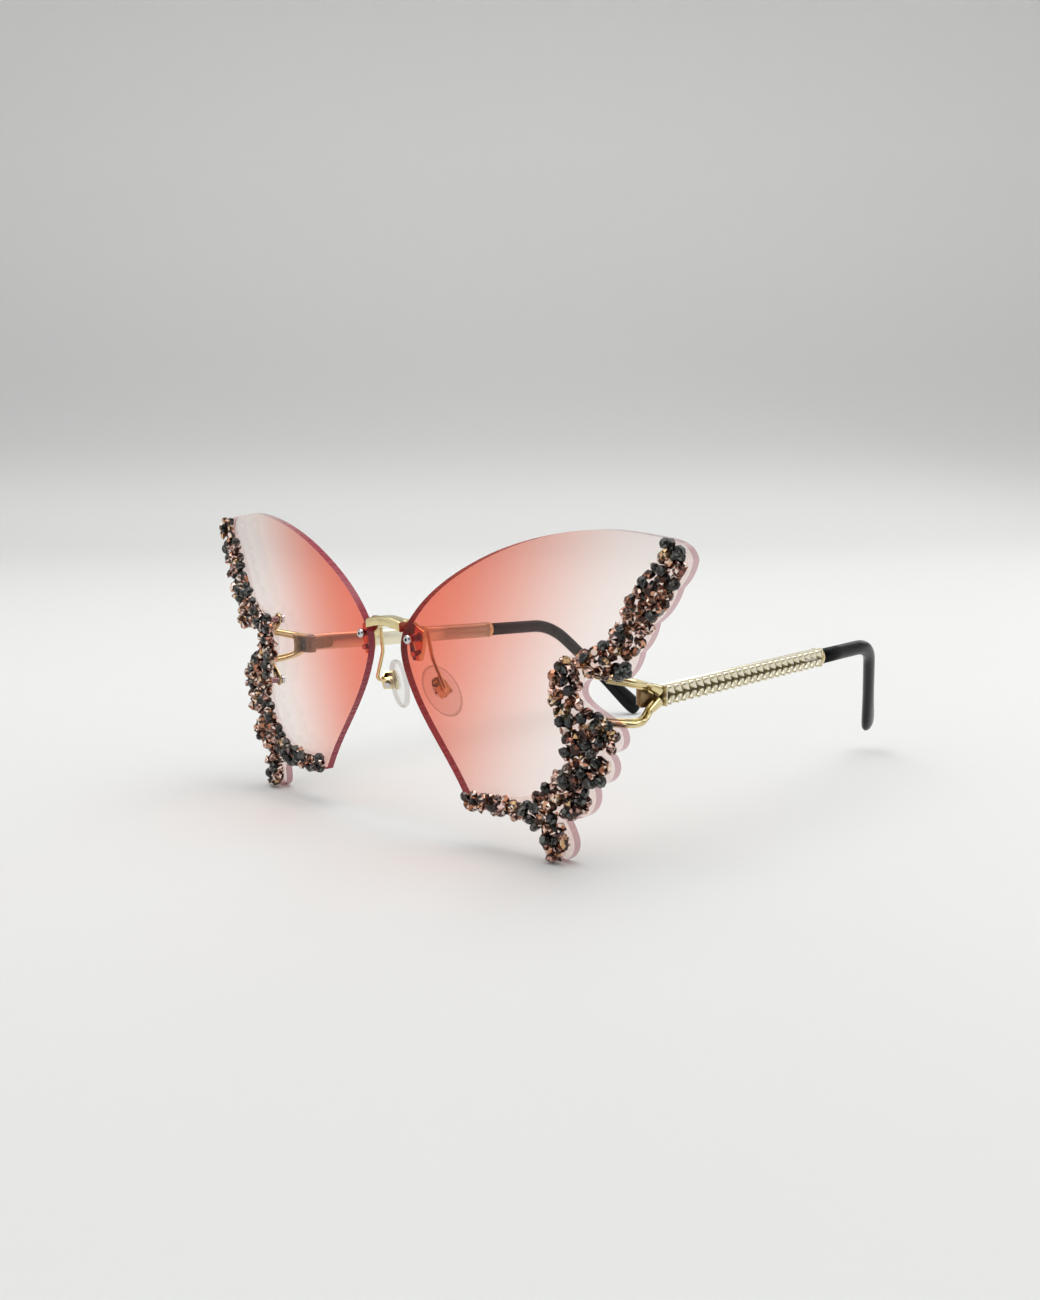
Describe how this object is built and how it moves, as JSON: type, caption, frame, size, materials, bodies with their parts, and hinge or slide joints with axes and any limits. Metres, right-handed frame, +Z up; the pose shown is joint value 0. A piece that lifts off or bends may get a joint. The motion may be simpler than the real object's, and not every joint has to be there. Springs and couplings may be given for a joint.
{
  "type": "butterfly sunglasses",
  "caption": "Rimless butterfly sunglasses: tinted wing lenses with stone-set edges, forked end pieces, folding link temples and rocking nose pads.",
  "frame": {"origin": "on the ground that the open glasses stand on, in the middle of their width and depth", "axes": "+X to the wearer's left, -Y the way the lenses face, +Z up"},
  "size_m": [0.1536, 0.1474, 0.0706],
  "materials": {
    "tinted_lens": "polished, graded tint",
    "clear_resin": "clear glue and washers",
    "cut_glass": "foiled faceted glass, copper and dark grey",
    "pale_gold": "polished pale gold plating",
    "silver_steel": "bright steel",
    "clear_silicone": "clear soft pad",
    "black_acetate": "glossy black sleeve"
  },
  "bodies": {
    "front": {"bridge": "pale_gold", "bridge_nut_left": "pale_gold", "bridge_nut_right": "pale_gold", "bridge_screw_left": "silver_steel", "bridge_screw_right": "silver_steel", "bridge_washer_left": "clear_resin", "bridge_washer_right": "clear_resin", "fork_left": "pale_gold", "fork_right": "pale_gold", "fork_screws_left": "silver_steel", "fork_screws_right": "silver_steel", "front_hinge_left": "pale_gold", "front_hinge_right": "pale_gold", "hinge_screw_left": "silver_steel", "hinge_screw_right": "silver_steel", "lens_left": "tinted_lens", "lens_right": "tinted_lens", "pad_box_left": "pale_gold", "pad_box_right": "pale_gold", "pad_screw_left": "silver_steel", "pad_screw_right": "silver_steel", "pad_wire_left": "pale_gold", "pad_wire_right": "pale_gold", "stone_bed_left": "clear_resin", "stone_bed_right": "clear_resin", "stones_left": "cut_glass", "stones_right": "cut_glass"},
    "left_temple": {"temple_collar_left": "pale_gold", "temple_core_left": "silver_steel", "temple_hinge_left": "pale_gold", "temple_links_left": "pale_gold", "temple_tip_left": "black_acetate"},
    "right_temple": {"temple_collar_right": "pale_gold", "temple_core_right": "silver_steel", "temple_hinge_right": "pale_gold", "temple_links_right": "pale_gold", "temple_tip_right": "black_acetate"},
    "left_nose_pad": {"nose_pad_left": "clear_silicone", "pad_tang_left": "pale_gold"},
    "right_nose_pad": {"nose_pad_right": "clear_silicone", "pad_tang_right": "pale_gold"}
  },
  "joints": [
    {"name": "left_temple_fold", "type": "hinge", "parent": "front", "child": "left_temple", "pos_m": [0.05661, -0.04967, 0.03462], "axis": [0, 0, 1], "range_deg": [0, 90]},
    {"name": "right_temple_fold", "type": "hinge", "parent": "front", "child": "right_temple", "pos_m": [-0.05661, -0.04967, 0.03462], "axis": [0, 0, -1], "range_deg": [-4.8, 75.2]},
    {"name": "left_nose_pad_rock", "type": "hinge", "parent": "front", "child": "left_nose_pad", "pos_m": [0.0091, -0.06347, 0.0321], "axis": [-0.4187, -0.7444, -0.5201], "range_deg": [-8, 8]},
    {"name": "right_nose_pad_rock", "type": "hinge", "parent": "front", "child": "right_nose_pad", "pos_m": [-0.0091, -0.06347, 0.0321], "axis": [0.4187, -0.7444, -0.5201], "range_deg": [-8, 8]}
  ]
}
